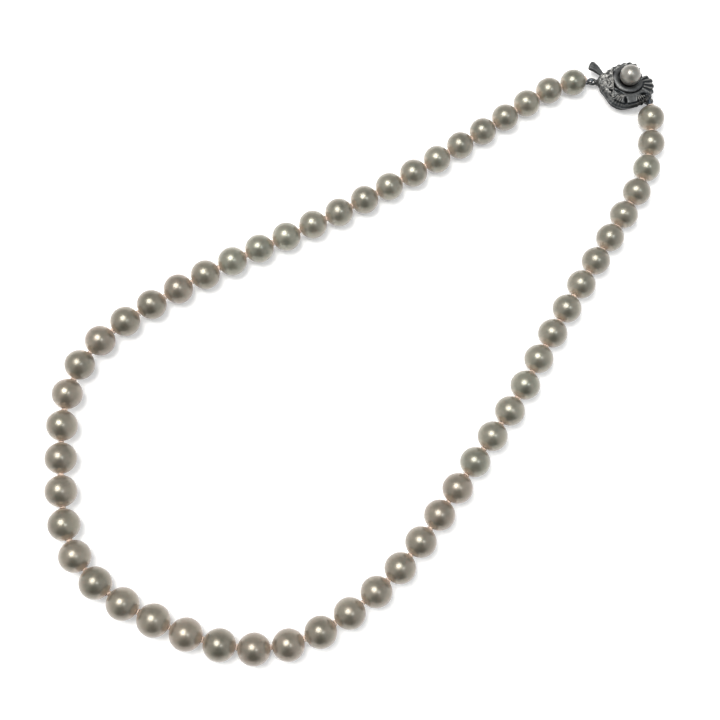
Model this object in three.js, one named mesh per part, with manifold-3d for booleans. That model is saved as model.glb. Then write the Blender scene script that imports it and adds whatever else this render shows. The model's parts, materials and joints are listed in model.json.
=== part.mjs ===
// Pearl necklace: 56 graduated pearls knotted on one silk thread, closed by a silver leaf
// clasp that carries a smaller pearl. Millimetres, +Z up, lying on the plane z = 0.
// +Y runs from the front (the largest pearl) to the clasp.
import * as THREE from "three";
import { mergeVertices } from "three/addons/utils/BufferGeometryUtils.js";
import Module from "manifold-3d";

const wasm = await Module();
wasm.setup();

// ---- driving dimensions of the strand ----
const PEARL_COUNT = 56;
const FRONT_PEARL = 30; // ordinal of the largest pearl, counted from the tongue end
const FRONT_DIAMETER = 7.45;
const END_DIAMETER = 6.3; // beside the clasp
const FRONT_GAP = 0.4; // between two pearls, filled by a knot
const END_GAP = 0.2;
const GRADUATION_STEPS = 29; // pearls from the largest to the farthest end
const GRADUATION_CURVE = 0.9; // below 1 the pearls shrink fastest near the front
const BORE_RADIUS = 0.45;
const THREAD_RADIUS = 0.2;
const KNOT_RADIUS = 0.6;
const KNOT_HEIGHT = 0.9; // share of its radius
const KNOT_LENGTH = 0.36; // share of its radius, squeezed between two pearls
const PAIR_COLLAR_RADIUS = 1.1; // silk collar that joins the two pearls of a pair
const PEARL_SIDES = 12;
const PEARL_ARC_STEPS = 6;
const PAIRED_RANGES = [
  [5, 16],
  [41, 52],
]; // straight stretches where two pearls share one node

// The strand's route on the table, from the ring of the tongue round the front to the ring
// of the clasp, chosen by hand.
const ROUTE = [
  [-0.1, 80.9],
  [-3.6, 77.2],
  [-6.5, 71.4],
  [-9.7, 58.6],
  [-13.0, 45.8],
  [-16.6, 33.0],
  [-20.6, 20.5],
  [-25.4, 7.7],
  [-31.0, -5.4],
  [-36.2, -19.0],
  [-40.5, -32.8],
  [-43.5, -47.2],
  [-43.2, -54.5],
  [-40.4, -61.2],
  [-36.0, -67.2],
  [-25.2, -78.0],
  [-19.2, -83.3],
  [-12.4, -86.7],
  [-4.7, -87.5],
  [3.0, -86.6],
  [18.3, -81.7],
  [25.6, -78.3],
  [31.8, -73.8],
  [36.5, -68.0],
  [39.7, -61.4],
  [42.8, -46.7],
  [43.3, -39.0],
  [41.9, -24.4],
  [39.4, -5.4],
  [37.3, 10.9],
  [33.6, 24.7],
  [31.2, 38.6],
  [28.9, 52.1],
  [26.4, 65.4],
  [24.4, 72.0],
  [20.9, 77.9],
  [16.8, 82.6],
  [13.5, 86.2],
];

// ---- driving dimensions of the clasp, around the leaf's centre ----
const CLASP_AT = [7.4, 85.2];
const FIT = 0.1; // gap between pieces that are soldered or glued together
const BACK_THICKNESS = 0.6;
const BACK_INSET = 1.2; // the back plate is this much smaller than the leaf
const BOX = { left: -4.7, right: 3.0, low: -4.1, high: 0.3, bottom: 0.7, top: 2.9 };
const BOX_WALL = 0.4;
const BOX_FLOOR = 0.3;
const STRIP = 0.35; // thickness of the tongue's folded strip
const TONGUE = { left: -5.2, nose: 2.3, low: -3.4, high: -0.4, bottom: 1.15 };
const SPRING_GAP = 0.45; // between the tongue's two leaves
const SPRING_ROOT = 1.8; // where the spring leaf leaves the fold
const SPRING_INSET = 0.3; // the spring leaf is this much smaller than the plate on three sides
const CATCH = { from: 0.9, to: 1.2, above: 0.15 }; // ridge across the spring leaf
const TAB = { bend: [-7.4, -1.3], end: [-9.6, -1.1], rise: 0.45, club: 0.85 };
const LEAF_BOTTOM = 3.0;
const LEAF_TOP = 3.9;
const LEAF_BEVEL = 0.35;
const RIBBON = {
  inner: 2.5,
  outer: 3.4,
  startDegrees: 160,
  endDegrees: 375,
  height: 1.1,
  bevel: 0.25,
};
const CUP_RADIUS = 1.5;
const CUP_WALL = 0.25;
const CUP_TOP = 3.3;
const CLASP_PEARL_RADIUS = 2.5;
const CLASP_PEARL_AT = [-1.0, 1.4, 5.8];
const PEG_RADIUS = 0.35;
const PEG_TOP = 5.4;
const RING_RADIUS = 0.95; // to the middle of the wire
const RING_WIRE = 0.3;
const RING_HEIGHT = 1.9;
const RING_SIDES = 18;
const GIMP_WIRE = 0.27;
const GIMP_LOOP = { width: 0.84, shift: 0.82, lift: 0.2 }; // against the ring's centre
const LUG_REACH = [-0.65, -0.7]; // from a ring's centre to the wire, where its lug meets it
const STALK_REACH = [0.62, 0.7];
const LINK_REACH = 1.75; // from a ring's centre to the strand's first or last knot

// ---- materials ----
const nacre = new THREE.MeshStandardMaterial({ color: 0xcfc8b4, roughness: 0.25, metalness: 0.1 });
const silk = new THREE.MeshStandardMaterial({ color: 0xe0c3a6, roughness: 0.8, metalness: 0 });
const silver = new THREE.MeshStandardMaterial({ color: 0x6f7275, roughness: 0.45, metalness: 0.9 });
const wire = new THREE.MeshStandardMaterial({ color: 0x5c6570, roughness: 0.5, metalness: 0.8 });

const necklace = new THREE.Group();

// ---- helpers ----
function addMesh(parent, name, geometry, material) {
  const mesh = new THREE.Mesh(geometry, material);
  mesh.name = name;
  parent.add(mesh);
  return mesh;
}

function toSolid(geometry) {
  const bare = geometry.clone();
  bare.deleteAttribute("normal");
  bare.deleteAttribute("uv");
  const merged = mergeVertices(bare, 1e-4);
  return new wasm.Manifold(
    new wasm.Mesh({
      numProp: 3,
      vertProperties: new Float32Array(merged.attributes.position.array),
      triVerts: new Uint32Array(merged.index.array),
    }),
  );
}

function toGeometry(solid) {
  const mesh = solid.getMesh();
  const geometry = new THREE.BufferGeometry();
  geometry.setAttribute("position", new THREE.BufferAttribute(mesh.vertProperties, 3));
  geometry.setIndex(new THREE.BufferAttribute(mesh.triVerts, 1));
  geometry.computeVertexNormals();
  return geometry;
}

function joined(geometries) {
  return toGeometry(geometries.map(toSolid).reduce((whole, piece) => whole.add(piece)));
}

function box(x0, x1, y0, y1, z0, z1) {
  const geometry = new THREE.BoxGeometry(x1 - x0, y1 - y0, z1 - z0);
  return geometry.translate((x0 + x1) / 2, (y0 + y1) / 2, (z0 + z1) / 2);
}

// ---- the strand ----
function graduation(ordinal) {
  return Math.pow(Math.abs(ordinal - FRONT_PEARL) / GRADUATION_STEPS, GRADUATION_CURVE);
}

function pearlDiameter(ordinal) {
  return FRONT_DIAMETER - (FRONT_DIAMETER - END_DIAMETER) * graduation(ordinal);
}

function knotGap(ordinal) {
  return FRONT_GAP - (FRONT_GAP - END_GAP) * graduation(ordinal);
}

// The links of the chain: each is a list of one or two pearl ordinals.
function listLinks() {
  const links = [];
  let ordinal = 1;
  while (ordinal <= PEARL_COUNT) {
    const first = ordinal;
    const paired = PAIRED_RANGES.some(([low, high]) => first >= low && first < high);
    links.push(paired ? [first, first + 1] : [first]);
    ordinal += paired ? 2 : 1;
  }
  return links;
}

function linkLength(ordinals) {
  return ordinals.reduce((sum, ordinal) => sum + pearlDiameter(ordinal) + knotGap(ordinal), 0);
}

// Points that follow the route, each a straight chord of the wanted length from the last.
function walkRoute(startDistance, chords) {
  const curve = new THREE.CatmullRomCurve3(
    ROUTE.map(([x, y]) => new THREE.Vector3(x, y, 0)),
    false,
    "centripetal",
  );
  const fine = curve.getPoints(ROUTE.length * 200);
  let index = 0;
  const advance = (from, distance) => {
    while (index < fine.length - 1 && fine[index + 1].distanceTo(from) < distance) index += 1;
    const before = fine[index];
    const after = fine[Math.min(index + 1, fine.length - 1)];
    const reach = before.distanceTo(from);
    const share = (distance - reach) / (after.distanceTo(from) - reach || 1);
    return before.clone().lerp(after, share);
  };
  const points = [advance(fine[0], startDistance)];
  for (const chord of chords) points.push(advance(points[points.length - 1], chord));
  return points;
}

function knotHeight(index, links) {
  const before = links[Math.max(index - 1, 0)];
  const after = links[Math.min(index, links.length - 1)];
  return (pearlDiameter(before[before.length - 1]) + pearlDiameter(after[0])) / 4;
}

// One or two drilled pearls in a row along Y, centred on the origin.
function drilledPearls(diameters, gap) {
  const total = diameters.reduce((sum, diameter) => sum + diameter + gap, -gap);
  const profile = [];
  let start = -total / 2;
  diameters.forEach((diameter, place) => {
    const radius = diameter / 2;
    const centre = start + radius;
    const firstHole = place === 0 ? BORE_RADIUS : PAIR_COLLAR_RADIUS;
    const lastHole = place === diameters.length - 1 ? BORE_RADIUS : PAIR_COLLAR_RADIUS;
    const low = -Math.acos(firstHole / radius);
    const high = Math.acos(lastHole / radius);
    for (let step = 0; step <= PEARL_ARC_STEPS; step += 1) {
      const angle = low + ((high - low) * step) / PEARL_ARC_STEPS;
      profile.push(new THREE.Vector2(radius * Math.cos(angle), centre + radius * Math.sin(angle)));
    }
    start += diameter + gap;
  });
  profile.push(profile[0].clone());
  return new THREE.LatheGeometry(profile, PEARL_SIDES);
}

// Turns local +Y along the line from one point to another, with local +Z up.
function placeBetween(mesh, from, to) {
  const along = to.clone().sub(from).normalize();
  const side = along.clone().cross(new THREE.Vector3(0, 0, 1)).normalize();
  const up = side.clone().cross(along);
  mesh.quaternion.setFromRotationMatrix(new THREE.Matrix4().makeBasis(side, along, up));
  mesh.position.copy(from).add(to).multiplyScalar(0.5);
}

function pearlName(ordinals) {
  const numbers = ordinals.map((ordinal) => String(ordinal).padStart(2, "0")).join("_");
  return (ordinals.length === 1 ? "pearl_" : "pearl_pair_") + numbers;
}

// A path through given points that a sweep samples exactly at those points.
class KnottedPath extends THREE.Curve {
  constructor(points) {
    super();
    this.points = points;
  }

  getPoint(share) {
    const last = this.points.length - 1;
    const place = share * last;
    const index = Math.min(Math.floor(place + 1e-6), last - 1);
    return this.points[index].clone().lerp(this.points[index + 1], place - index);
  }

  getPointAt(share) {
    return this.getPoint(share);
  }

  getTangentAt(share) {
    const reach = 0.5 / (this.points.length - 1);
    const before = this.getPoint(Math.max(share - reach, 0));
    const after = this.getPoint(Math.min(share + reach, 1));
    return after.sub(before).normalize();
  }
}

function silkThread(knots) {
  const section = new THREE.Shape();
  section.absarc(0, 0, THREAD_RADIUS, 0, Math.PI * 2);
  const tube = new THREE.ExtrudeGeometry(section, {
    steps: knots.length - 1,
    curveSegments: 4,
    extrudePath: new KnottedPath(knots),
  });
  const beads = knots.map((knot, index) => {
    const from = knots[Math.max(index - 1, 0)];
    const to = knots[Math.min(index + 1, knots.length - 1)];
    const place = new THREE.Object3D();
    placeBetween(place, from, to);
    place.scale.set(1, KNOT_LENGTH, KNOT_HEIGHT);
    place.position.copy(knot);
    place.updateMatrix();
    return new THREE.OctahedronGeometry(KNOT_RADIUS).applyMatrix4(place.matrix);
  });
  return joined([tube, ...beads]);
}

// A loop of wire-covered thread from the pearl's bore through a ring.
function gimpLoop(ringCentre, knot) {
  const away = knot.clone().sub(ringCentre).setZ(0).normalize();
  const loop = new THREE.TorusGeometry(1, GIMP_WIRE, 6, 14);
  loop.scale(GIMP_LOOP.width, 1, 1).rotateX(Math.PI / 2);
  loop.translate(GIMP_LOOP.shift, 0, GIMP_LOOP.lift);
  loop.rotateZ(Math.atan2(away.y, away.x));
  return loop.translate(ringCentre.x, ringCentre.y, RING_HEIGHT);
}

function buildStrand() {
  const links = listLinks();
  const knots = walkRoute(LINK_REACH, links.map(linkLength));
  knots.forEach((knot, index) => knot.setZ(knotHeight(index, links)));
  links.forEach((ordinals, index) => {
    const solid = drilledPearls(ordinals.map(pearlDiameter), knotGap(ordinals[0]));
    const mesh = addMesh(necklace, pearlName(ordinals), solid, nacre);
    placeBetween(mesh, knots[index], knots[index + 1]);
  });
  addMesh(necklace, "silk_thread", silkThread(knots), silk);
  return knots;
}

// ---- the clasp ----
// Outline of the leaf: its neck at the lower left, over the tongue's two stems, and a notch at
// the top beside the fan-shaped lobe.
function leafOutline(inset = 0) {
  const points = [
    [-6.5, -0.9],
    [-5.5, 2.6],
    [-3.4, 5.5],
    [-1.1, 5.8],
    [0.8, 4.5],
    [2.3, 5.4],
    [4.2, 4.8],
    [5.6, 3.0],
    [6.2, 0.8],
    [5.6, -1.6],
    [4.4, -3.8],
    [2.6, -5.6],
    [-0.2, -6.3],
    [-2.4, -5.8],
    [-4.1, -5.2],
    [-5.7, -4.7],
    [-6.7, -3.6],
    [-6.9, -2.3],
  ].map(([x, y]) => new THREE.Vector2(x, y));
  points.forEach((point) => point.setLength(point.length() - inset));
  const shape = new THREE.Shape();
  shape.moveTo(points[0].x, points[0].y);
  shape.splineThru([...points.slice(1), points[0]]);
  return shape;
}

function plate(shape, bottom, top, bevel, curveSegments) {
  const geometry = new THREE.ExtrudeGeometry(shape, {
    depth: top - bottom - 2 * bevel,
    curveSegments,
    bevelEnabled: bevel > 0,
    bevelThickness: bevel,
    bevelSize: bevel,
    bevelOffset: -bevel,
    bevelSegments: 2,
  });
  return geometry.translate(0, 0, bottom + bevel);
}

// A round bar between two points.
function bar(from, to, startRadius, endRadius) {
  const a = new THREE.Vector3(...from);
  const b = new THREE.Vector3(...to);
  const cylinder = new THREE.CylinderGeometry(endRadius, startRadius, a.distanceTo(b), 8);
  const direction = b.clone().sub(a).normalize();
  cylinder.applyQuaternion(
    new THREE.Quaternion().setFromUnitVectors(new THREE.Vector3(0, 1, 0), direction),
  );
  return cylinder.translate((a.x + b.x) / 2, (a.y + b.y) / 2, (a.z + b.z) / 2);
}

function claspBox() {
  const outer = box(BOX.left, BOX.right, BOX.low, BOX.high, BOX.bottom, BOX.top);
  const slot = box(
    BOX.left - 1,
    BOX.right - BOX_WALL,
    BOX.low + BOX_WALL,
    BOX.high - BOX_WALL,
    BOX.bottom + BOX_FLOOR,
    BOX.top - BOX_FLOOR,
  );
  return toGeometry(toSolid(outer).subtract(toSolid(slot)));
}

function leafShell() {
  const outline = leafOutline();
  const [x, y] = CLASP_PEARL_AT;
  const body = plate(outline, LEAF_BOTTOM, LEAF_TOP, LEAF_BEVEL, 2);
  const well = new THREE.CylinderGeometry(CUP_RADIUS + FIT, CUP_RADIUS + FIT, 4, 16);
  well.rotateX(Math.PI / 2).translate(x, y, LEAF_TOP);
  return toGeometry(toSolid(body).subtract(toSolid(well)));
}

// The smooth band that curls round the lower side of the clasp's pearl.
function leafRibbon() {
  const [x, y] = CLASP_PEARL_AT;
  const start = THREE.MathUtils.degToRad(RIBBON.startDegrees);
  const end = THREE.MathUtils.degToRad(RIBBON.endDegrees);
  const band = new THREE.Shape();
  band.absarc(x, y, RIBBON.outer, start, end, false);
  band.absarc(x, y, RIBBON.inner, end, start, true);
  return plate(band, LEAF_TOP + FIT, LEAF_TOP + RIBBON.height, RIBBON.bevel, 7);
}

function pearlCup() {
  const profile = [
    [PEG_RADIUS + FIT, BOX.top + FIT],
    [CUP_RADIUS - 0.4, BOX.top + FIT],
    [CUP_RADIUS, CUP_TOP + 0.3],
    [CUP_RADIUS - CUP_WALL, CUP_TOP + 0.3],
    [PEG_RADIUS + FIT, CUP_TOP - 0.15],
    [PEG_RADIUS + FIT, BOX.top + FIT],
  ].map(([radius, height]) => new THREE.Vector2(radius, height));
  return new THREE.LatheGeometry(profile, 16).rotateX(Math.PI / 2);
}

// Sphere with a blind hole for the peg at its lowest point.
function halfDrilledPearl() {
  const hole = PEG_RADIUS + FIT;
  const lowest = Math.acos(hole / CLASP_PEARL_RADIUS);
  const arcSteps = 9;
  const profile = [new THREE.Vector2(0, PEG_TOP + FIT - CLASP_PEARL_AT[2])];
  profile.push(new THREE.Vector2(hole, profile[0].y));
  for (let step = 0; step <= arcSteps; step += 1) {
    const angle = -lowest + ((Math.PI / 2 + lowest) * step) / arcSteps;
    const radius = step === arcSteps ? 0 : CLASP_PEARL_RADIUS * Math.cos(angle);
    profile.push(new THREE.Vector2(radius, CLASP_PEARL_RADIUS * Math.sin(angle)));
  }
  return new THREE.LatheGeometry(profile, 16).rotateX(Math.PI / 2);
}

function flatRing(centre) {
  const ring = new THREE.TorusGeometry(RING_RADIUS, RING_WIRE, 8, RING_SIDES);
  return ring.translate(centre.x, centre.y, RING_HEIGHT);
}

// The lower leaf of the folded strip, with the fold turned up at the nose.
function tonguePlate() {
  const { left, nose, low, high, bottom } = TONGUE;
  const foldTop = bottom + 2 * STRIP + SPRING_GAP;
  return joined([
    box(left, nose - 0.2, low, high, bottom, bottom + STRIP),
    box(nose - STRIP, nose, low + 0.2, high - 0.2, bottom, foldTop),
  ]);
}

// The upper leaf, with the catch that is held behind the mouth of the box.
function tongueSpring() {
  const { left, low, high, bottom } = TONGUE;
  const underside = bottom + STRIP + SPRING_GAP;
  const front = low + SPRING_INSET;
  const rear = high - SPRING_INSET;
  const catchTop = underside + STRIP + CATCH.above;
  return joined([
    box(left + SPRING_INSET, SPRING_ROOT, front, rear, underside, underside + STRIP),
    box(left + CATCH.from, left + CATCH.to, front, rear, underside + 0.1, catchTop),
  ]);
}

// The stem and club-shaped end of the thumb tab, soldered to the end of the spring leaf.
function releaseTab() {
  const height = TONGUE.bottom + 1.5 * STRIP + SPRING_GAP + CATCH.above;
  const bend = [...TAB.bend, height + 0.25];
  const end = [...TAB.end, height + TAB.rise];
  const club = new THREE.SphereGeometry(TAB.club, 12, 8).scale(1.35, 1, 0.75);
  club.translate(...end);
  return joined([
    bar([TONGUE.left + SPRING_INSET - FIT, -1.5, height], bend, 0.4, 0.45),
    bar([bend[0] + 0.1, bend[1], bend[2] - 0.02], end, 0.45, 0.6),
    club,
  ]);
}

function buildClasp(tongueRingAt, claspRingAt) {
  const clasp = new THREE.Group();
  clasp.position.set(CLASP_AT[0], CLASP_AT[1], 0);
  necklace.add(clasp);
  const ringA = tongueRingAt.clone().sub(clasp.position);
  const ringB = claspRingAt.clone().sub(clasp.position);

  const back = leafOutline(BACK_INSET);
  addMesh(clasp, "clasp_back_plate", plate(back, 0, BACK_THICKNESS, 0, 2), silver);
  addMesh(clasp, "clasp_box", claspBox(), silver);
  addMesh(clasp, "leaf_shell", leafShell(), silver);
  addMesh(clasp, "leaf_ribbon", leafRibbon(), silver);

  const cup = addMesh(clasp, "pearl_cup", pearlCup(), silver);
  cup.position.set(CLASP_PEARL_AT[0], CLASP_PEARL_AT[1], 0);
  const pegBottom = BOX.top + FIT;
  const peg = new THREE.CylinderGeometry(PEG_RADIUS, PEG_RADIUS, PEG_TOP - pegBottom, 12);
  peg.rotateX(Math.PI / 2).translate(0, 0, (PEG_TOP + pegBottom) / 2);
  const pegMesh = addMesh(clasp, "pearl_peg", peg, silver);
  pegMesh.position.copy(cup.position);
  const pearl = addMesh(clasp, "clasp_pearl", halfDrilledPearl(), nacre);
  pearl.position.set(...CLASP_PEARL_AT);

  const lug = bar(
    [BOX.right + FIT, -0.6, RING_HEIGHT],
    [ringB.x + LUG_REACH[0], ringB.y + LUG_REACH[1], RING_HEIGHT],
    0.35,
    0.3,
  );
  addMesh(clasp, "clasp_ring", joined([flatRing(ringB), lug]), silver);

  addMesh(clasp, "tongue_plate", tonguePlate(), silver);
  const stalk = bar(
    [TONGUE.left - FIT, -2.7, TONGUE.bottom + 0.5],
    [ringA.x + STALK_REACH[0], ringA.y + STALK_REACH[1], RING_HEIGHT],
    0.45,
    0.35,
  );
  addMesh(clasp, "tongue_ring", joined([flatRing(ringA), stalk]), silver);
  addMesh(clasp, "tongue_spring", tongueSpring(), silver);
  addMesh(clasp, "release_tab", releaseTab(), silver);
}

// ---- assembly ----
const knots = buildStrand();
const tongueRingAt = new THREE.Vector3(ROUTE[0][0], ROUTE[0][1], 0);
const lastPoint = ROUTE[ROUTE.length - 1];
const claspRingAt = new THREE.Vector3(lastPoint[0], lastPoint[1], 0);
addMesh(necklace, "gimp_tongue_side", gimpLoop(tongueRingAt, knots[0]), wire);
addMesh(necklace, "gimp_clasp_side", gimpLoop(claspRingAt, knots[knots.length - 1]), wire);
buildClasp(tongueRingAt, claspRingAt);

export default necklace;
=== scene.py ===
import json
import math

import bpy
import numpy as np
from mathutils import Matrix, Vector


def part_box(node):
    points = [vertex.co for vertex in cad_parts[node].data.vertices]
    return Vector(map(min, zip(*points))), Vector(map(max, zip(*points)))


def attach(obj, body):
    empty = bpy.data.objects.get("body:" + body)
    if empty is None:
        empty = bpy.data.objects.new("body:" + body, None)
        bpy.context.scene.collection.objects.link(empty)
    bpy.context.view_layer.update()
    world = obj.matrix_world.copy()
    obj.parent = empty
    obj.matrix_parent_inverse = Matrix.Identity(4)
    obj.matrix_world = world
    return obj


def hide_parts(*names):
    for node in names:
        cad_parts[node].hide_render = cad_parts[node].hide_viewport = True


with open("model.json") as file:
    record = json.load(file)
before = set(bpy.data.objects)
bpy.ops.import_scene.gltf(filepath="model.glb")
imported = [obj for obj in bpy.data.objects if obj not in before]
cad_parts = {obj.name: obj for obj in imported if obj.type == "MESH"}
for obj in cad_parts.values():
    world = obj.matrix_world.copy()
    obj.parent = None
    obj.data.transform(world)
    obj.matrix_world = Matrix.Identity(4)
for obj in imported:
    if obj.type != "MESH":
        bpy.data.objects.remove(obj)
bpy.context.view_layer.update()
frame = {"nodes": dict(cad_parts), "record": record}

MM = 0.001
chance = np.random.default_rng(7)

# ---- driving sizes ----
BORE_RADIUS = 0.42 * MM
PEARL_ROWS = 34
PEARL_COLUMNS = 52
THREAD_RADIUS = 0.19 * MM
KNOT_STRAND_RADIUS = 0.165 * MM
KNOT_REACH = 0.66 * MM
JOINT_KNOT_REACH = 0.54 * MM
LONE_KNOT_GAP = 0.3 * MM
STUB = 1.3 * MM
END_STUB = 0.34 * MM
GIMP_RADIUS = 0.19 * MM
GIMP_WIRE = 0.07 * MM
GIMP_CORE = 0.13 * MM
GIMP_PITCH = 0.14 * MM
GROUND_HALF = 2.0
GROUND_DROP = 0.02 * MM

# The clasp's own sizes are in millimetres, from an origin on the ground under its middle.
CLASP_PEARL_AT = (-1.0, 1.4, 5.8)
CUP_REACH = 2.2
LEAF_COLUMNS = 320
LEAF_ROWS = 96
RIM_SHARE = 0.06
EYE_LONG = 0.92
EYE_WIDE = 0.64
EYE_WIRE = 0.34
EYE_HEIGHT = 1.9
LOOP_TO_EYE = 0.82
TAB_STEPS = 40
TAB_SIDES = 40
TAB_GROOVES = 8

# Body colour and overtone of the nacre: three greener pairs, then three rosier ones.
GREEN_TINTS = 3
NEAR_CLASP = 15
TINTS = (
    ((0.176, 0.177, 0.139), (0.250, 0.231, 0.187)),
    ((0.184, 0.179, 0.141), (0.258, 0.229, 0.186)),
    ((0.170, 0.165, 0.130), (0.246, 0.213, 0.172)),
    ((0.173, 0.160, 0.125), (0.247, 0.204, 0.165)),
    ((0.158, 0.150, 0.116), (0.231, 0.192, 0.153)),
    ((0.171, 0.155, 0.121), (0.249, 0.196, 0.160)),
)
# Lighter pinkish colour painted near the bore mouths: painted bounce light from the neighbouring
# pearls and knots.
PAINTED_BOUNCE_NACRE = (0.50, 0.40, 0.31)

# ---- the view ----
VIEW_AZIMUTH = math.radians(42.0)
VIEW_ELEVATION = math.radians(77.0)
VIEW_DISTANCE = 258.8 * MM
VIEW_TARGET = Vector((4.2, -9.8, 0.0)) * MM
LENS_MM = 55.0
SENSOR_MM = 36.0
LOOK = Vector(
    (
        -math.sin(VIEW_AZIMUTH) * math.cos(VIEW_ELEVATION),
        math.cos(VIEW_AZIMUTH) * math.cos(VIEW_ELEVATION),
        -math.sin(VIEW_ELEVATION),
    )
)
BACK = -LOOK
RIGHT = Vector((math.cos(VIEW_AZIMUTH), math.sin(VIEW_AZIMUTH), 0.0))
UP = RIGHT.cross(LOOK)
DARK_ANGLE = math.radians(48)
DARK_SIDE = (BACK * math.cos(DARK_ANGLE) - UP * math.sin(DARK_ANGLE)).normalized()


def make_camera():
    data = bpy.data.cameras.new("camera")
    data.lens = LENS_MM
    data.sensor_width = SENSOR_MM
    data.clip_start = 0.005
    camera = bpy.data.objects.new("camera", data)
    bpy.context.scene.collection.objects.link(camera)
    camera.location = VIEW_TARGET - LOOK * VIEW_DISTANCE
    camera.rotation_euler = LOOK.to_track_quat("-Z", "Y").to_euler()
    bpy.context.scene.camera = camera


# ---- meshes ----
def make_mesh(name, vertices, faces):
    mesh = bpy.data.meshes.new(name)
    mesh.from_pydata([tuple(v) for v in vertices], [], [tuple(f) for f in faces])
    mesh.polygons.foreach_set("use_smooth", [True] * len(mesh.polygons))
    mesh.update()
    return mesh


def add_piece(name, shape, material, body):
    """Makes a (vertices, faces) shape, placed in the row frame, into a piece that rides on a body."""
    mesh = make_mesh(name, *shape)
    mesh.materials.append(material)
    piece = bpy.data.objects.new(name, mesh)
    bpy.context.scene.collection.objects.link(piece)
    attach(piece, body)
    return piece


def store(piece, name, values):
    """Keeps one value for each vertex, for the material to read."""
    attribute = piece.data.attributes.new(name, "FLOAT", "POINT")
    attribute.data.foreach_set("value", np.array(values, np.float32))


def grid_faces(rows, columns, closed_rows=False):
    """Quads of a grid whose columns wrap round."""
    faces = []
    for i in range(rows if closed_rows else rows - 1):
        for j in range(columns):
            below = i * columns
            above = ((i + 1) % rows) * columns
            faces.append((below + j, below + (j + 1) % columns, above + (j + 1) % columns, above + j))
    return faces


def basis(axis):
    """Three perpendicular unit vectors, the last along axis."""
    w = np.array(axis, float) / np.linalg.norm(axis)
    helper = np.array((0.0, 0.0, 1.0)) if abs(w[2]) < 0.9 else np.array((1.0, 0.0, 0.0))
    u = np.cross(helper, w)
    u /= np.linalg.norm(u)
    return u, np.cross(w, u), w


def sweep(points, radii, sides, closed=False, squash=(1.0, 1.0), twist=0.0):
    """A tube along points. squash scales its section, which turns by twist radians each step."""
    points = np.array(points, float)
    radii = np.broadcast_to(np.array(radii, float), (len(points),))
    if closed:
        tangents = np.roll(points, -1, 0) - np.roll(points, 1, 0)
    else:
        tangents = np.gradient(points, axis=0)
    tangents /= np.linalg.norm(tangents, axis=1)[:, None]
    u = basis(tangents[0])[0]
    rings = []
    for step, (point, tangent, radius) in enumerate(zip(points, tangents, radii)):
        u = u - tangent * (u @ tangent)
        u /= np.linalg.norm(u)
        v = np.cross(tangent, u)
        c, s = math.cos(twist * step), math.sin(twist * step)
        wide, thin = c * u + s * v, c * v - s * u
        for k in range(sides):
            angle = 2 * math.pi * k / sides
            across = squash[0] * math.cos(angle) * wide + squash[1] * math.sin(angle) * thin
            rings.append(point + radius * across)
    faces = grid_faces(len(points), sides, closed)
    if not closed:
        last = (len(points) - 1) * sides
        faces.append(tuple(range(sides - 1, -1, -1)))
        faces.append(tuple(last + k for k in range(sides)))
    return np.array(rings), faces


def merge(shapes):
    vertices, faces, offset = [], [], 0
    for shape_vertices, shape_faces in shapes:
        vertices.append(np.array(shape_vertices, float))
        faces += [tuple(i + offset for i in face) for face in shape_faces]
        offset += len(shape_vertices)
    return np.concatenate(vertices), faces


def smooth_path(points, count):
    """A Catmull-Rom curve through points, sampled evenly by parameter."""
    points = np.array(points, float)
    last = len(points) - 1
    samples = []
    for t in np.linspace(0, last, count):
        i = min(int(t), last - 1)
        s = t - i
        p = [points[min(max(i + k, 0), last)] for k in (-1, 0, 1, 2)]
        samples.append(
            0.5
            * (
                2 * p[1]
                + (p[2] - p[0]) * s
                + (2 * p[0] - 5 * p[1] + 4 * p[2] - p[3]) * s**2
                + (3 * p[1] - p[0] - 3 * p[2] + p[3]) * s**3
            )
        )
    return np.array(samples)


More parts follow.
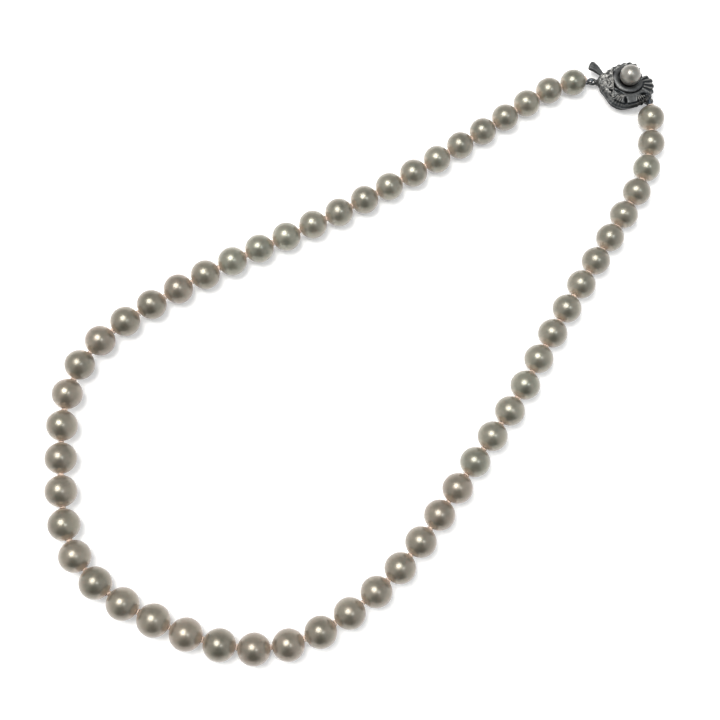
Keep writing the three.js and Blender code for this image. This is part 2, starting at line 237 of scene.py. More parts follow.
# ---- materials ----
class Nodes:
    """A material's node tree, with a short way to add and link nodes."""

    def __init__(self, name):
        self.material = bpy.data.materials.new(name)
        self.material.use_nodes = True
        self.tree = self.material.node_tree
        self.shader = self.tree.nodes["Principled BSDF"]
        self.coordinates = self.add("ShaderNodeTexCoord").outputs["Object"]

    def add(self, kind, **values):
        node = self.tree.nodes.new(kind)
        for key, value in values.items():
            setattr(node, key, value)
        return node

    def link(self, source, target):
        self.tree.links.new(source, target)

    def noise(self, scale, detail=3.0, roughness=0.5, distortion=0.0):
        node = self.add("ShaderNodeTexNoise")
        node.inputs["Scale"].default_value = scale
        node.inputs["Detail"].default_value = detail
        node.inputs["Roughness"].default_value = roughness
        node.inputs["Distortion"].default_value = distortion
        self.link(self.coordinates, node.inputs["Vector"])
        return node.outputs["Fac"]

    def cells(self, scale, feature="F1"):
        node = self.add("ShaderNodeTexVoronoi", feature=feature)
        node.inputs["Scale"].default_value = scale
        self.link(self.coordinates, node.inputs["Vector"])
        return node.outputs["Distance"]

    def ramp(self, source, stops):
        """Colour or grey stops as (position, colour)."""
        node = self.add("ShaderNodeValToRGB")
        elements = node.color_ramp.elements
        while len(elements) < len(stops):
            elements.new(0.5)
        for element, (position, colour) in zip(elements, stops):
            element.position = position
            grey = isinstance(colour, (int, float))
            element.color = (colour, colour, colour, 1.0) if grey else (*colour, 1.0)
        self.link(source, node.inputs["Fac"])
        return node.outputs["Color"]

    def mix(self, factor, first, second, blend="MIX"):
        node = self.add("ShaderNodeMix", data_type="RGBA", blend_type=blend)
        for value, index in ((factor, 0), (first, 6), (second, 7)):
            if isinstance(value, bpy.types.NodeSocket):
                self.link(value, node.inputs[index])
            elif index == 0:
                node.inputs[0].default_value = value
            else:
                node.inputs[index].default_value = (*value, 1.0)
        return node.outputs[2]

    def rim(self, blend):
        node = self.add("ShaderNodeLayerWeight")
        node.inputs["Blend"].default_value = blend
        return node.outputs["Facing"]

    def bump(self, height, strength, distance, below=None):
        node = self.add("ShaderNodeBump")
        node.inputs["Strength"].default_value = strength
        node.inputs["Distance"].default_value = distance
        self.link(height, node.inputs["Height"])
        if below is not None:
            self.link(below, node.inputs["Normal"])
        return node.outputs["Normal"]

    def set(self, **values):
        """Sets the shader's inputs to a socket, or to a number on the input itself."""
        for key, value in values.items():
            target = self.shader.inputs[key.replace("_", " ")]
            if isinstance(value, bpy.types.NodeSocket):
                self.link(value, target)
            else:
                target.default_value = value


def lighten(colour, amount):
    return tuple(min(1.0, channel * amount) for channel in colour)


def nacre_material(name, body_colour, overtone):
    """Akoya nacre: a greyish body with a painted rim sheen, a lighter rosy tint laid on towards the
    rim by facing angle, a painted bounce glow near the bore mouths, and faint growth lines.
    """
    nodes = Nodes(name)
    drift = nodes.noise(190.0, detail=2.0)
    patches = nodes.noise(620.0, detail=3.0, roughness=0.6)
    body = nodes.ramp(
        drift,
        [(0.3, lighten(body_colour, 0.80)), (0.5, body_colour), (0.7, lighten(body_colour, 1.22))],
    )
    tint = nodes.ramp(patches, [(0.35, 0.0), (0.72, 0.45)])
    tinted = nodes.mix(tint, body, overtone)
    # painted rim sheen: the colour turns to a lighter rosy overtone where the surface turns away from
    # the camera
    edge = nodes.ramp(nodes.rim(0.40), [(0.18, 0.0), (0.80, 0.85)])
    with_painted_rim_sheen = nodes.mix(edge, tinted, lighten(overtone, 1.08))
    mouth = nodes.add("ShaderNodeAttribute", attribute_name="mouth").outputs["Fac"]
    # painted bounce light: near the bore mouths the colour turns lighter and pinkish, standing in for
    # light reflected from the neighbouring pearls and knots
    painted_bounce = nodes.ramp(mouth, [(0.70, 0.0), (0.98, 0.75)])
    colour = nodes.mix(painted_bounce, with_painted_rim_sheen, PAINTED_BOUNCE_NACRE)
    roughness = nodes.ramp(patches, [(0.3, 0.29), (0.7, 0.39)])
    fine = nodes.noise(5200.0, detail=2.0)
    swell = nodes.bump(drift, 0.30, 0.0003)
    relief = nodes.bump(fine, 0.14, 0.00003, swell)
    nodes.set(
        Base_Color=colour,
        Roughness=roughness,
        Normal=relief,
        Metallic=nodes.ramp(mouth, [(0.70, 0.62), (0.98, 0.25)]),
        IOR=1.58,
        Coat_Weight=0.40,
        Coat_Roughness=0.21,
        Coat_IOR=1.5,
        Sheen_Weight=0.06,
        Sheen_Roughness=0.4,
        Subsurface_Weight=0.06,
        Subsurface_Scale=0.0012,
    )
    return nodes.material


def silk_material():
    """Pinkish cream beading silk with twisted filaments and a little soiling."""
    nodes = Nodes("beading_silk")
    fibres = nodes.noise(9000.0, detail=4.0, roughness=0.7)
    soil = nodes.noise(700.0)
    clean = nodes.ramp(fibres, [(0.3, (0.50, 0.37, 0.29)), (0.7, (0.76, 0.61, 0.50))])
    colour = nodes.mix(nodes.ramp(soil, [(0.45, 0.0), (0.75, 0.45)]), clean, (0.36, 0.26, 0.20))
    nodes.set(
        Base_Color=colour,
        Roughness=nodes.ramp(fibres, [(0.3, 0.6), (0.7, 0.85)]),
        Normal=nodes.bump(fibres, 0.5, 0.00006),
        Sheen_Weight=0.35,
        Sheen_Roughness=0.5,
    )
    return nodes.material


def silver_material(name, dark, bright, wear=True, roughness=0.42):
    """Oxidised silver: blackened in the hollows, rubbed bright where relief stands up. On the leaf
    the height attribute also holds painted shade along the lower rim.
    """
    nodes = Nodes(name)
    stains = nodes.noise(420.0, detail=5.0, roughness=0.65)
    scratches = nodes.noise(3800.0, detail=2.0, distortion=1.5)
    grains = nodes.cells(2600.0)
    if wear:
        node = nodes.add("ShaderNodeAttribute", attribute_name="height")
        # the height attribute also carries painted shade along the leaf's lower rim
        rubbed_with_painted_shade = nodes.ramp(node.outputs["Fac"], [(0.25, 0.0), (0.55, 0.45), (0.80, 1.0)])
        colour = nodes.mix(rubbed_with_painted_shade, dark, bright)
    else:
        colour = nodes.ramp(stains, [(0.3, dark), (0.75, bright)])
    soiled = nodes.ramp(stains, [(0.38, 0.60), (0.62, 1.0)])
    colour = nodes.mix(1.0, colour, soiled, blend="MULTIPLY")
    fine = nodes.bump(scratches, 0.25, 0.00004)
    nodes.set(
        Base_Color=colour,
        Metallic=0.9,
        Roughness=nodes.ramp(stains, [(0.3, roughness + 0.12), (0.7, roughness - 0.1)]),
        Normal=nodes.bump(grains, 0.22, 0.00005, fine),
        IOR=1.45,
    )
    return nodes.material


def paper_material():
    """Plain pale ground with the faintest grain, which glows faintly: painted light that lifts the
    shadows cast on it.
    """
    nodes = Nodes("pale_ground")
    grain = nodes.noise(900.0, detail=2.0)
    nodes.set(
        Base_Color=nodes.ramp(grain, [(0.3, 0.84), (0.7, 0.88)]),
        Roughness=0.9,
        Specular_IOR_Level=0.1,
        # painted light: the ground glows, which lightens the contact shadows on it
        Emission_Strength=0.25,
    )
    return nodes.material


# ---- places taken from the frame ----
def node_points(node):
    return np.array([v.co for v in frame["nodes"][node].data.vertices], float)


def middle(node):
    low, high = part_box(node)
    return np.array((low + high) / 2)


def fit_sphere(points):
    """Centre and radius of the sphere through points."""
    system = np.c_[2 * points, np.ones(len(points))]
    solution = np.linalg.lstsq(system, (points**2).sum(1), rcond=None)[0]
    centre = solution[:3]
    return centre, math.sqrt(solution[3] + centre @ centre)


def list_pearls():
    """The strand's pearls in order, each a dict of ordinal, body, node, centre and radius."""
    pearls = []
    for body, nodes in frame["record"]["behaviour"]["bodies"].items():
        for node in nodes:
            ordinals = [int(word) for word in node.split("_") if word.isdigit()]
            if not node.startswith("pearl_") or not ordinals:
                continue
            points = node_points(node)
            spread = points - points.mean(0)
            along = spread @ np.linalg.svd(spread, full_matrices=False)[2][0]
            halves = [points]
            if len(ordinals) == 2:
                halves = [points[along < 0], points[along > 0]]
            for half in halves:
                centre, radius = fit_sphere(half)
                pearls.append(
                    dict(ordinal=ordinals[0], body=body, node=node, centre=centre, radius=radius)
                )
    pearls.sort(key=lambda pearl: pearl["ordinal"])
    for i in range(1, len(pearls) - 1):
        first, second = pearls[i], pearls[i + 1]
        if first["node"] == second["node"]:
            before = pearls[i - 1]["centre"]
            if np.linalg.norm(second["centre"] - before) < np.linalg.norm(first["centre"] - before):
                pearls[i], pearls[i + 1] = second, first
    for i, pearl in enumerate(pearls):
        pearl["ordinal"] = i + 1
    return pearls


def list_knots(pearls):
    """Knot centres: one before each pearl, and one after the last."""
    knots = []
    for first, second in zip(pearls, pearls[1:]):
        step = second["centre"] - first["centre"]
        length = np.linalg.norm(step)
        gap = length - first["radius"] - second["radius"]
        knots.append(first["centre"] + step / length * (first["radius"] + gap / 2))
    start = 2 * pearls[0]["centre"] - knots[0]
    end = 2 * pearls[-1]["centre"] - knots[-1]
    return [start] + knots + [end]


# ---- pearls ----
def lathe(profile, columns, centre, axis, wobble=None):
    """Turns (radius, height) points about an axis. A radius of zero makes a pole."""
    u, v, w = basis(axis)
    angles = np.arange(columns) * 2 * math.pi / columns
    vertices, rows = [], []
    for radius, height in profile:
        if radius == 0:
            rows.append([len(vertices)] * columns)
            vertices.append(centre + w * height)
            continue
        rows.append(list(range(len(vertices), len(vertices) + columns)))
        for angle in angles:
            scale = wobble(angle, height) if wobble else 1.0
            out = radius * (math.cos(angle) * u + math.sin(angle) * v) + height * w
            vertices.append(centre + out * scale)
    closed = profile[0][0] != 0
    faces = []
    for i in range(len(rows) if closed else len(rows) - 1):
        low, high = rows[i], rows[(i + 1) % len(rows)]
        for j in range(columns):
            k = (j + 1) % columns
            face = (low[j], low[k], high[k], high[j])
            faces.append(tuple(dict.fromkeys(face)))
    return np.array(vertices), faces


def strand_pearl(pearl, axis):
    """A slightly off-round pearl with a bore whose mouths are softened."""
    radius = pearl["radius"]
    lip = 0.07 * MM
    reach = math.acos((BORE_RADIUS + lip) / radius)
    profile = [
        (radius * math.cos(angle), radius * math.sin(angle))
        for angle in np.linspace(-reach, reach, PEARL_ROWS)
    ]
    inner = profile[-1][1] - lip
    profile += [(BORE_RADIUS, share * inner) for share in (1, 1 / 3, -1 / 3, -1)]
    phase = chance.uniform(0, 2 * math.pi, 3)
    amount = chance.uniform(0.004, 0.011)
    stretch = chance.uniform(-0.012, 0.006)

    def wobble(angle, height):
        share = height / radius
        round_the_bore = math.sin(2 * angle + phase[0]) * (1 - share**2)
        lopsided = math.sin(angle + phase[1]) * math.sin(3 * share + phase[2])
        return 1 + amount * (round_the_bore + 0.6 * lopsided) + stretch * share**2

    return lathe(profile, PEARL_COLUMNS, pearl["centre"], axis, wobble)


def clasp_pearl(centre, radius):
    """The clasp's pearl, with a blind hole for the peg at its lowest point."""
    hole = 0.45 * MM
    hole_top = -0.3 * MM
    reach = math.acos(hole / radius)
    profile = [(0, hole_top), (hole, hole_top)]
    profile += [
        (radius * math.cos(angle), radius * math.sin(angle))
        for angle in np.linspace(-reach, math.pi / 2, PEARL_ROWS)[:-1]
    ]
    profile.append((0, radius))
    return lathe(profile, PEARL_COLUMNS, centre, (0, 0, 1))


# ---- silk ----
def silk_knot(place, axis, gap, before, after, reach):
    """An overhand knot drawn tight between two pearls, with the thread's ends in their bores."""
    u, v, w = basis(axis)
    start = chance.uniform(0, 2 * math.pi)
    half = 0.3 * MM
    steps = 44
    path = [place + w * height for height in np.linspace(-before, -half, 5)]
    for t in np.linspace(0, 1, steps + 1):
        out = reach * math.sqrt(math.sin(math.pi * t) + 1e-6)
        angle = start + 3.6 * math.pi * t
        height = (2 * t - 1) * 0.17 * gap + 0.05 * MM * math.sin(6 * math.pi * t)
        path.append(place + out * (math.cos(angle) * u + math.sin(angle) * v) + w * height)
    path += [place + w * height for height in np.linspace(half, after, 5)]
    radii = [THREAD_RADIUS] * 5 + [KNOT_STRAND_RADIUS] * (steps + 1) + [THREAD_RADIUS] * 5
    return sweep(path, radii, 8, twist=0.5, squash=(1.0, 0.8))


# ---- wire-covered thread ends ----
def level_direction(start, end):
    """The level unit vector from start towards end, and the level distance between them."""
    across = end - start
    distance = math.hypot(across[0], across[1])
    return np.array((across[0], across[1], 0.0)) / distance, distance


def gimp_core(node, pearl):
    """The middle line of a wire-covered loop, from the pearl's bore round through a ring."""
    centre = middle(node)
    away, distance = level_direction(centre, pearl["centre"])
    mouth = distance - pearl["radius"]
    up = np.array((0.0, 0.0, 1.0))
    bore_height = pearl["centre"][2] - centre[2]
    half = 0.84 * MM
    tall = 1.0 * MM
    outline = [(mouth + 0.35 * MM, bore_height), (0.6 * half, 0.95 * tall)]
    outline += [
        (half * math.cos(angle), tall * math.sin(angle))
        for angle in np.radians((100, 140, 180, 220, 260, 300, 335))
    ]
    outline += [(0.98 * half, 0.35 * tall), (mouth + 0.3 * MM, bore_height - 0.12 * MM)]
    return smooth_path([centre + away * a + up * h for a, h in outline], 60), np.cross(away, up)


def gimp_loop(node, pearl):
    """Fine wire coiled round the doubled thread."""
    core, side = gimp_core(node, pearl)
    lengths = np.r_[0, np.cumsum(np.linalg.norm(np.diff(core, axis=0), axis=1))]

    def at(distance):
        return np.array([np.interp(distance, lengths, core[:, k]) for k in range(3)])

    per_turn = 9
    step = 0.05 * MM
    coil = []
    for distance in np.arange(0, lengths[-1], GIMP_PITCH / per_turn):
        along = at(distance + step) - at(distance - step)
        other = np.cross(side, along / np.linalg.norm(along))
        angle = 2 * math.pi * distance / GIMP_PITCH
        coil.append(at(distance) + GIMP_RADIUS * (math.cos(angle) * side + math.sin(angle) * other))
    return merge([sweep(coil, GIMP_WIRE, 5), sweep(core, GIMP_CORE, 6)])


def eye_centre(node, pearl, origin):
    """Middle of the ring that a wire-covered loop passes through, in the clasp's millimetres."""
    loop = middle(node)
    away, _ = level_direction(loop, pearl["centre"])
    eye = (loop - away * LOOP_TO_EYE * MM - origin) / MM
    return (eye[0], eye[1], EYE_HEIGHT)


# ---- clasp ----
def view_axes(x, y):
    """How far a place on the leaf lies to the camera's right and up, in millimetres."""
    c, s = math.cos(VIEW_AZIMUTH), math.sin(VIEW_AZIMUTH)
    return c * x + s * y, -s * x + c * y


def patch(a, b, at, size, turn=0.0):
    """A soft oval patch, 1 at its middle."""
    c, s = math.cos(math.radians(turn)), math.sin(math.radians(turn))
    da, db = a - at[0], b - at[1]
    return np.exp(-(((c * da + s * db) / size[0]) ** 2) - ((-s * da + c * db) / size[1]) ** 2)


def between(value, low, high, soft):
    """1 where value is between low and high, with soft sides."""
    return 0.5 * (np.tanh((value - low) / soft) - np.tanh((value - high) / soft))


def granules(a, b):
    """Close-set silver grains on the leaf's left part and along its upper edge."""
    height = np.zeros_like(a)
    places = np.random.default_rng(3)
    for _ in range(230):
        ca = places.uniform(-6.8, -3.9)
        cb = places.uniform(-5.0, 4.6)
        radius = places.uniform(0.2, 0.36)
        rise = places.uniform(0.16, 0.4)
        distance = ((a - ca) ** 2 + (b - cb) ** 2) / radius**2
        height = np.maximum(height, rise * np.clip(1 - distance, 0, 1) ** 0.6)
    for _ in range(70):
        ca = places.uniform(-4.2, 0.2)
        cb = 4.2 + 0.35 * (ca + 2.0) + places.uniform(-0.7, 0.9)
        radius = places.uniform(0.18, 0.3)
        distance = ((a - ca) ** 2 + (b - cb) ** 2) / radius**2
        height = np.maximum(height, 0.25 * np.clip(1 - distance, 0, 1) ** 0.6)
    return height


def flutes(a, b, centre, start, end, near, count, depth):
    """Fan-shaped flutes that spread from a centre between two angles in degrees."""
    angle = np.degrees(np.arctan2(b - centre[1], a - centre[0]))
    reach = np.hypot(a - centre[0], b - centre[1])
    fan = between(angle, start, end, 4.0) * between(reach, near, 20.0, 0.25)
    wave = np.cos((angle - start) / (end - start) * 2 * math.pi * count)
    return depth * fan * wave


def leaf_veins(a, b):
    """The fans of flutes, the rib beside the ribbon and the twigs in the lower part."""
    rib = 0.45 * patch(a, b, (-3.75, 1.2), (0.17, 2.4))
    right_fan = flutes(a, b, (1.0, 0.2), -28, 48, 2.7, 5, 0.24)
    upper_fan = flutes(a, b, (1.0, 0.2), 48, 118, 3.1, 5, 0.16)
    lower_fan = flutes(a, b, (1.6, -1.4), -84, -24, 1.9, 5, 0.30)
    left_fan = flutes(a, b, (-1.2, -1.6), -150, -100, 1.3, 4, 0.16)
    twig = 0.40 * patch(a, b, (-1.9, -3.2), (1.0, 0.42), 12) * (1 + 0.35 * np.cos(7 * a))
    knob = 0.25 * patch(a, b, (-2.9, -4.1), (0.5, 0.35), -30)
    return rib + right_fan + upper_fan + lower_fan + left_fan + twig + knob


def leaf_hollows(a, b):
    """The sunk bed beside the pearl, the groove under the ribbon, and five slots."""
    pearl_a, pearl_b = view_axes(*CLASP_PEARL_AT[:2])
    from_pearl = np.hypot(a - pearl_a, b - pearl_b)
    bed = 0.35 * between(a, -3.5, -1.9, 0.25) * between(b, -0.6, 4.0, 0.4)
    groove = 0.35 * patch(from_pearl, 0 * a, (3.75, 0), (0.3, 1)) * between(b, -9.0, 0.5, 0.4)
    slots = 1.0 * patch(a, b, (3.6, -2.45), (0.62, 0.24), 4)
    slots += 1.0 * patch(a, b, (-0.85, -4.15), (0.26, 0.72), 8)
    slots += 0.8 * patch(a, b, (5.35, -3.0), (0.22, 0.5), -20)
    slots += 0.6 * patch(a, b, (-4.3, -1.5), (0.5, 0.2), -35)
    slots += 0.5 * patch(a, b, (-2.4, -1.9), (0.9, 0.22), -30)
    return bed + groove + slots


def rolled_rim(a, b, share):
    """A bead with a groove inside it along the lower edge, and a low bead on the right."""
    underneath = between(b, -9.0, -2.2, 0.8)
    bead = 0.40 * underneath * np.exp(-(((share - 0.925) / 0.035) ** 2))
    groove = 0.28 * underneath * np.exp(-(((share - 0.845) / 0.035) ** 2))
    right_bead = 0.12 * between(a, 1.8, 9.0, 0.5) * np.exp(-(((share - 0.93) / 0.05) ** 2))
    return bead - groove + right_bead


def leaf_edge(origin, theta):
    """The leaf's reach from its middle at each angle, with small lobes, and its lowest height."""
    points = (node_points("leaf_shell") - origin) / MM
    low, high = points[:, 2].min(), points[:, 2].max()
    wall = points[np.abs(points[:, 2] - (low + high) / 2) < 0.3]
    from_cup = np.hypot(wall[:, 0] - CLASP_PEARL_AT[0], wall[:, 1] - CLASP_PEARL_AT[1])
    wall = wall[from_cup >= CUP_REACH]
    angles = np.arctan2(wall[:, 1], wall[:, 0])
    order = np.argsort(angles)
    reach = np.hypot(wall[:, 0], wall[:, 1])[order]
    edge = np.interp(theta, angles[order], reach, period=2 * math.pi)
    a, b = view_axes(edge * np.cos(theta), edge * np.sin(theta))
    lobes = between(a, 2.0, 9.0, 0.6) + 0.6 * between(b, 3.0, 9.0, 0.6)
    return edge + 0.16 * lobes * np.cos(26 * theta) - 0.05 * lobes, low


def leaf_top(x, y, share, relief, low):
    """Height of the leaf's upper side: a dome with its ornament, sunk round the pearl's cup."""
    fade = np.clip((1 - share) / RIM_SHARE, 0, 1) ** 0.5
    dome = 0.75 * (1 - share**2.2)
    cup = np.hypot(x - CLASP_PEARL_AT[0], y - CLASP_PEARL_AT[1])
    bed = np.clip((cup - 0.9) / 1.7, 0, 1) ** 2
    top = low + 0.35 + fade * 0.35 + dome + relief * fade
    sunk = low + 0.12 + 1.5 * bed + 0.25 * bed * relief + 4.0 * (cup > 2.9)
    return np.maximum(np.minimum(top, sunk), low + 0.1)


def leaf_faces(rows, columns):
    """A pole, rows of quads and a last pole."""
    faces = [(0, 1 + j, 1 + (j + 1) % columns) for j in range(columns)]
    for face in grid_faces(rows, columns):
        faces.append(tuple(1 + i for i in face[::-1]))
    last_row = 1 + (rows - 1) * columns
    pole = last_row + columns
    faces += [(pole, last_row + (j + 1) % columns, last_row + j) for j in range(columns)]
    return faces


def leaf(origin):
    """The cast leaf as one closed body, and how bright each of its vertices is: rubbed on the relief,
    blackened in the hollows, with painted shade along its lower rim.
    """
    columns, rows = LEAF_COLUMNS, LEAF_ROWS
    theta = np.arange(columns) * 2 * math.pi / columns - math.pi
    edge, low = leaf_edge(origin, theta)
    share = np.linspace(0, 1, rows)[:, None]
    x, y = share * edge * np.cos(theta), share * edge * np.sin(theta)
    a, b = view_axes(x, y)
    relief = granules(a, b) + leaf_veins(a, b) - leaf_hollows(a, b) + rolled_rim(a, b, share)
    top = leaf_top(x, y, share, relief, low)

    def place(xs, ys, zs):
        return np.c_[xs.ravel(), ys.ravel(), zs.ravel()] * MM + origin

    under = np.linspace(1, 0, 7)[1:-1, None] * edge
    middle_point, floor = np.zeros(1), np.full(1, low)
    vertices = np.concatenate(
        [
            place(middle_point, middle_point, top[0, :1]),
            place(x[1:], y[1:], top[1:]),
            place(x[-1:], y[-1:], np.full((1, columns), low)),
            place(under * np.cos(theta), under * np.sin(theta), low + 0 * under),
            place(middle_point, middle_point, floor),
        ]
    )
    shading = np.clip(0.38 + relief / 0.75, 0, 1)
    # painted shade: the outer rim band on the leaf's lower side is darkened, where the rim's edge
    # would lie in shadow
    shading *= 1 - 0.55 * between(b, -9.0, -0.5, 0.8) * np.clip((share - 0.86) / RIM_SHARE, 0, 1)
    height = np.full(len(vertices), 0.35)
    height[0] = shading[0, 0]
    height[1 : 1 + (rows - 1) * columns] = shading[1:].ravel()
    return (vertices, leaf_faces(rows + len(under), columns)), height


def ribbon(origin):
    """The smooth band that curls round the lower side of the clasp's pearl."""
    path, radii = [], []
    for t in np.linspace(0, 1, 49):
        angle = math.radians(152 + 232 * t)
        fullness = math.sin(math.pi * min(max(t, 0.02), 0.98)) ** 0.45
        out = 3.22 + 0.1 * (1 - fullness)
        x = CLASP_PEARL_AT[0] + out * math.cos(angle)
        y = CLASP_PEARL_AT[1] + out * math.sin(angle)
        path.append((x, y, 4.12 + 0.26 * fullness))
        radii.append(0.52 * fullness)
    vertices, faces = sweep(path, radii, 16, squash=(1.5, 0.8))
    return vertices * MM + origin, faces


def eye_on_stem(origin, stem, stem_radii):
    """A soldered oval eye and the stem that carries it."""
    centre = np.array(stem[-1])
    towards = np.array(stem[-2]) - centre
    towards /= np.linalg.norm(towards)
    across = np.cross((0.0, 0.0, 1.0), towards)
    wire = [
        centre + EYE_LONG * math.cos(angle) * towards + EYE_WIDE * math.sin(angle) * across
        for angle in np.linspace(0, 2 * math.pi, 40, endpoint=False)
    ]
    steps = 22
    path = smooth_path(list(stem[:-1]) + [tuple(centre + EYE_LONG * towards)], steps)
    radii = np.interp(np.linspace(0, 1, steps), np.linspace(0, 1, len(stem_radii)), stem_radii)
    vertices, faces = merge([sweep(wire, EYE_WIRE, 12, closed=True), sweep(path, radii, 14)])
    return vertices * MM + origin, faces


def release_tab(origin):
    """The thumb tab, shaped as a grooved bud on a short twig."""
    route = [
        (-5.0, -1.5, 2.2),
        (-6.3, -1.45, 2.3),
        (-7.6, -1.35, 2.55),
        (-8.8, -1.35, 2.8),
        (-9.7, -1.42, 2.85),
        (-10.35, -1.5, 2.8),
        (-10.7, -1.56, 2.72),
    ]
    path = smooth_path(route, TAB_STEPS)
    radii = np.interp(
        np.linspace(0, 1, TAB_STEPS),
        (0.0, 0.2, 0.4, 0.6, 0.78, 0.92, 1.0),
        (0.42, 0.48, 0.80, 1.02, 1.12, 0.94, 0.14),
    )
    vertices, faces = sweep(path, radii, TAB_SIDES, squash=(1.0, 0.8))
    for i, point in enumerate(path):
        for k in range(TAB_SIDES):
            angle = TAB_GROOVES * 2 * math.pi * k / TAB_SIDES + 0.06 * i
            j = i * TAB_SIDES + k
            vertices[j] = point + (vertices[j] - point) * (1 + 0.07 * math.cos(angle))
    return vertices * MM + origin, faces


# ---- pieces on their bodies ----
def add_pearls(pearls, knots):
    nacres = [nacre_material(f"nacre_{i + 1}", *tint) for i, tint in enumerate(TINTS)]
    for i, pearl in enumerate(pearls):
        axis = knots[i + 1] - knots[i]
        shape = strand_pearl(pearl, axis)
        near_clasp = min(i, len(pearls) - 1 - i) < NEAR_CLASP
        material = nacres[chance.integers(GREEN_TINTS) + (0 if near_clasp else GREEN_TINTS)]
        piece = add_piece(f"pearl_{i + 1:02d}_nacre", shape, material, pearl["body"])
        along = (shape[0] - pearl["centre"]) @ axis / np.linalg.norm(axis)
        store(piece, "mouth", np.abs(along) / pearl["radius"])
        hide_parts(pearl["node"])


def add_knots(pearls, knots):
    """A knot rides with the pearl before it. At a joint it is smaller, with a short end after it."""
    silk = silk_material()
    last = len(knots) - 1
    for i, place in enumerate(knots):
        before = pearls[max(i - 1, 0)]
        after = pearls[min(i, len(pearls) - 1)]
        axis = knots[min(i + 1, last)] - knots[max(i - 1, 0)]
        gap = LONE_KNOT_GAP
        if before is not after:
            between_centres = np.linalg.norm(after["centre"] - before["centre"])
            gap = between_centres - before["radius"] - after["radius"]
        at_joint = before["body"] != after["body"]
        first_stub = STUB if i > 0 else END_STUB
        last_stub = END_STUB if at_joint or i == last else STUB
        reach = JOINT_KNOT_REACH if at_joint else KNOT_REACH
        shape = silk_knot(place, axis, gap, first_stub, last_stub, reach)
        piece = add_piece(f"silk_knot_{i:02d}", shape, silk, before["body"])
        if i == 0:
            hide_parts("silk_thread")


def add_gimps(pearls):
    wire_silver = silver_material(
        "oxidised_wire", (0.10, 0.12, 0.15), (0.26, 0.29, 0.33), wear=False, roughness=0.4
    )
    for node, pearl in (("gimp_tongue_side", pearls[0]), ("gimp_clasp_side", pearls[-1])):
        shape = gimp_loop(node, pearl)
        piece = add_piece(f"{node}_coil", shape, wire_silver, pearl["body"])
        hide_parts(node)


def add_clasp_pearl(origin):
    nacre = nacre_material("nacre_clasp", (0.196, 0.190, 0.174), (0.236, 0.219, 0.195))
    points = node_points("clasp_pearl")
    _, radius = fit_sphere(points[points[:, 2] > middle("clasp_pearl")[2]])
    shape = clasp_pearl(origin + np.array(CLASP_PEARL_AT) * MM, radius)
    piece = add_piece("clasp_pearl_nacre", shape, nacre, "clasp")
    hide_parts("clasp_pearl")


def add_leaf(origin):
    cast_silver = silver_material("oxidised_cast", (0.052, 0.057, 0.061), (0.39, 0.385, 0.37))
    shape, height = leaf(origin)
    piece = add_piece("leaf_cast", shape, cast_silver, "clasp")
    store(piece, "height", height)
    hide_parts("leaf_shell")


def add_plain_silver(origin, pearls):
    """The ribbon, both rings and the tab, and the finish of the parts kept from the frame."""
    silver = silver_material(
        "oxidised_plain", (0.075, 0.080, 0.086), (0.175, 0.176, 0.172), wear=False, roughness=0.46
    )
    tongue_eye = eye_centre("gimp_tongue_side", pearls[0], origin)
    clasp_eye = eye_centre("gimp_clasp_side", pearls[-1], origin)
    tongue_stem = ((-5.25, -2.65, 1.65), (-5.9, -3.05, 1.75), (-6.5, -3.5, 1.85), tongue_eye)
    clasp_stem = ((3.15, -0.6, 1.9), (4.5, -0.2, 1.9), clasp_eye)
    tongue_ring = eye_on_stem(origin, tongue_stem, (0.66, 0.84, 0.78, 0.58))
    clasp_ring = eye_on_stem(origin, clasp_stem, (0.42, 0.4, 0.34))
    for name, shape, body, node in (
        ("leaf_ribbon_band", ribbon(origin), "clasp", "leaf_ribbon"),
        ("tongue_ring_stalk", tongue_ring, "tongue", "tongue_ring"),
        ("clasp_ring_loop", clasp_ring, "clasp", "clasp_ring"),
        ("release_tab_bud", release_tab(origin), "tongue_spring", "release_tab"),
    ):
        piece = add_piece(name, shape, silver, body)
        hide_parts(node)
    for name in (
        "clasp_back_plate",
        "clasp_box",
        "pearl_cup",
        "pearl_peg",
        "tongue_plate",
        "tongue_spring",
    ):
        mesh = frame["nodes"][name].data
        mesh.materials.clear()
        mesh.materials.append(silver)


# ---- ground and light ----
def add_ground():
    half = GROUND_HALF
    corners = [(-half, -half, 0), (half, -half, 0), (half, half, 0), (-half, half, 0)]
    mesh = make_mesh("ground", corners, [(0, 1, 2, 3)])
    mesh.materials.append(paper_material())
    ground = bpy.data.objects.new("ground", mesh)
    ground.location.z = -GROUND_DROP
    bpy.context.scene.collection.objects.link(ground)


def area_light(name, right, up, distance, size, power, colour):
    """A soft light on a direction that leans from the view by angles to the right and up."""
    direction = BACK + RIGHT * math.tan(math.radians(right)) + UP * math.tan(math.radians(up))
    direction.normalize()
    data = bpy.data.lights.new(name, "AREA")
    data.shape = "DISK"
    data.size = size
    data.energy = power
    data.color = colour
    light = bpy.data.objects.new(name, data)
    light.location = direction * distance
    light.rotation_euler = (-direction).to_track_quat("-Z", "Y").to_euler()
    bpy.context.scene.collection.objects.link(light)


def world_ramp(tree, source, stops):
    node = tree.nodes.new("ShaderNodeValToRGB")
    for element, (position, colour) in zip(node.color_ramp.elements, stops):
        element.position = position
        element.color = (*colour, 1.0)
    tree.links.new(source, node.inputs["Fac"])
    return node.outputs["Color"]


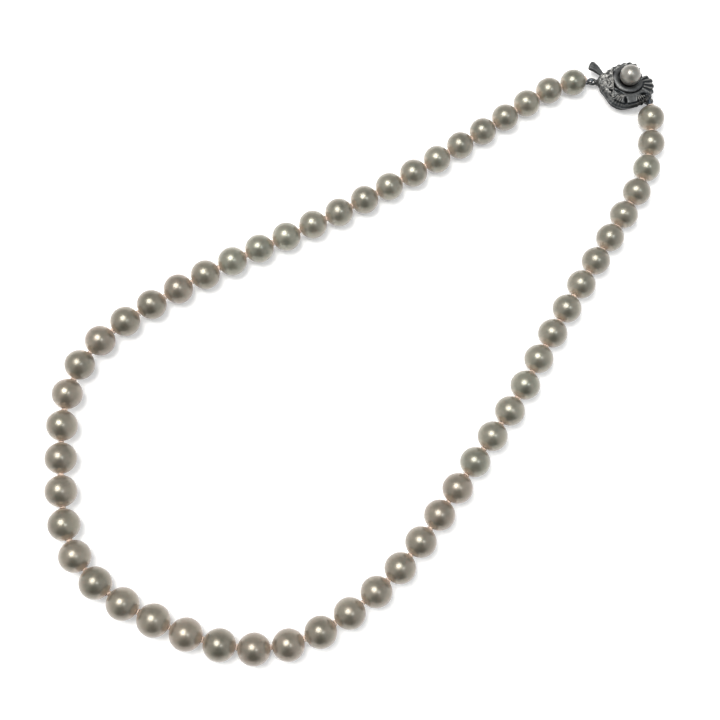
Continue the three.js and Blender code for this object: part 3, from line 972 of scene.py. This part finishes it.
def make_world():
    """A pale studio that is darker overhead, with a dark patch that the pearls mirror low down."""
    world = bpy.data.worlds.new("studio")
    bpy.context.scene.world = world
    world.use_nodes = True
    tree = world.node_tree
    direction = tree.nodes.new("ShaderNodeTexCoord").outputs["Generated"]
    split = tree.nodes.new("ShaderNodeSeparateXYZ")
    tree.links.new(direction, split.inputs["Vector"])
    facing = tree.nodes.new("ShaderNodeVectorMath")
    facing.operation = "DOT_PRODUCT"
    facing.inputs[1].default_value = DARK_SIDE
    tree.links.new(direction, facing.inputs[0])
    overhead = [(0.0, (0.66, 0.65, 0.64)), (0.9, (0.22, 0.225, 0.23))]
    patch_stops = [(0.70, (1.0, 1.0, 1.0)), (0.93, (0.06, 0.06, 0.06))]
    product = tree.nodes.new("ShaderNodeMix")
    product.data_type = "RGBA"
    product.blend_type = "MULTIPLY"
    product.inputs[0].default_value = 1.0
    tree.links.new(world_ramp(tree, split.outputs["Z"], overhead), product.inputs[6])
    tree.links.new(world_ramp(tree, facing.outputs["Value"], patch_stops), product.inputs[7])
    background = tree.nodes["Background"]
    background.inputs["Strength"].default_value = 1.4
    tree.links.new(product.outputs[2], background.inputs["Color"])


# ---- build ----
make_camera()
pearls = list_pearls()
knots = list_knots(pearls)
add_pearls(pearls, knots)
add_knots(pearls, knots)
add_gimps(pearls)

clasp_pearl_middle = middle("clasp_pearl")
origin = np.array((clasp_pearl_middle[0], clasp_pearl_middle[1], 0.0))
origin -= np.array((*CLASP_PEARL_AT[:2], 0.0)) * MM
add_clasp_pearl(origin)
add_leaf(origin)
add_plain_silver(origin, pearls)

add_ground()
area_light("key", -15.0, 23.0, 0.75, 0.46, 6.3, (1.0, 0.985, 0.945))
area_light("second", 19.0, 6.0, 0.80, 0.14, 0.8, (0.90, 0.95, 1.0))
area_light("left_fill", -62.0, 10.0, 1.20, 2.2, 5.0, (1.0, 0.97, 0.93))
area_light("right_fill", 60.0, -10.0, 1.20, 2.2, 5.0, (0.95, 0.97, 1.0))
make_world()
bpy.context.scene.view_settings.view_transform = "Standard"
